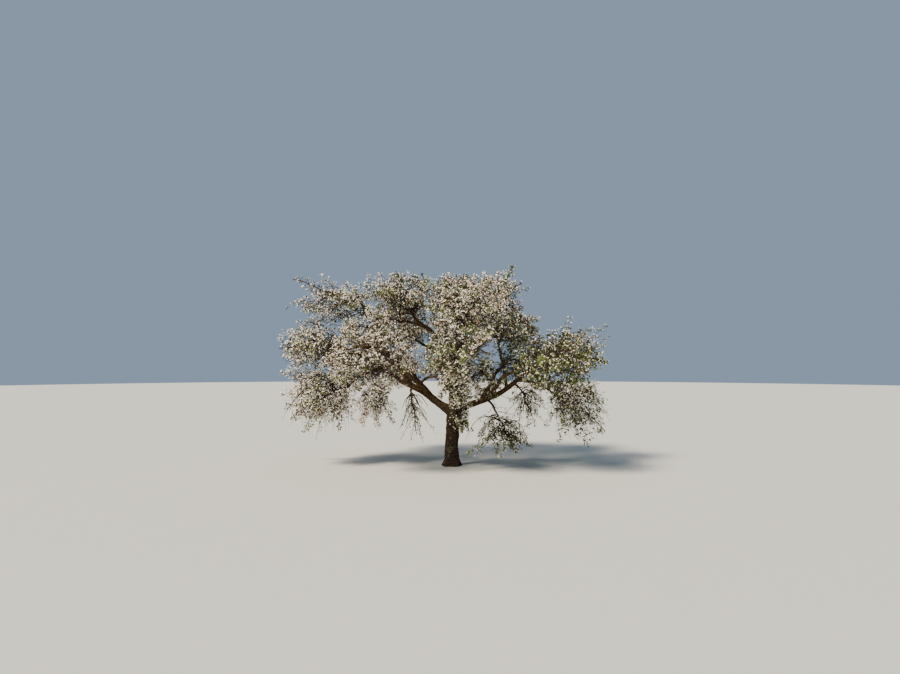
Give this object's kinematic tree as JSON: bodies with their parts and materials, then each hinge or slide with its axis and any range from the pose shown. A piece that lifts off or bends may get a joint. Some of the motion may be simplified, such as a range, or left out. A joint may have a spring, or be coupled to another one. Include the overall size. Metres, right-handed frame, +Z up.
{
  "type": "apple tree",
  "caption": "Old standard apple tree in full blossom: a short leaning trunk with a flared foot forks low into wide boughs that carry masses of leaf and blossom.",
  "frame": {"origin": "middle of the flat cut under the trunk, at ground level", "axes": "+Z up the trunk, +X to the right as the tree is seen from the front, +Y away from that viewer"},
  "size_m": [9.922, 7.6178, 5.9474],
  "materials": {
    "bark": "rough, fissured grey-brown bark with lichen",
    "foliage": "matt cream blossom with fresh green leaves"
  },
  "bodies": {
    "root": {"trunk": "bark", "leader": "bark", "left_bough": "bark", "right_bough": "bark", "left_high_bough": "bark", "left_drop_bough": "bark", "left_inner_bough": "bark", "front_left_bough": "bark", "back_left_bough": "bark", "left_hanging_bough": "bark", "knob_stub": "bark", "arching_bough": "bark", "front_bough": "bark", "back_bough": "bark", "right_low_bough": "bark", "right_rising_bough": "bark", "right_drop_bough": "bark", "right_inner_bough": "bark", "right_stub": "bark", "front_right_bough": "bark", "back_right_bough": "bark", "top_left_bough": "bark", "top_far_left_bough": "bark", "top_right_bough": "bark", "top_front_bough": "bark", "top_back_bough": "bark", "back_left_high_bough": "bark", "back_right_high_bough": "bark", "top_middle": "foliage", "left_centre": "foliage", "right_outer": "foliage", "left_outer": "foliage", "left_low": "foliage", "left_inner": "foliage", "front_left": "foliage", "back_left": "foliage", "left_hanging": "foliage", "knob_twigs": "foliage", "front_low": "foliage", "front_middle": "foliage", "back_middle": "foliage", "right_low": "foliage", "right_middle": "foliage", "right_hanging": "foliage", "right_inner": "foliage", "right_twigs": "foliage", "front_right": "foliage", "back_right": "foliage", "top_left": "foliage", "left_upper": "foliage", "top_right": "foliage", "top_front": "foliage", "top_back": "foliage", "back_left_high": "foliage", "back_right_high": "foliage", "fork_tuft": "foliage"}
  },
  "joints": []
}
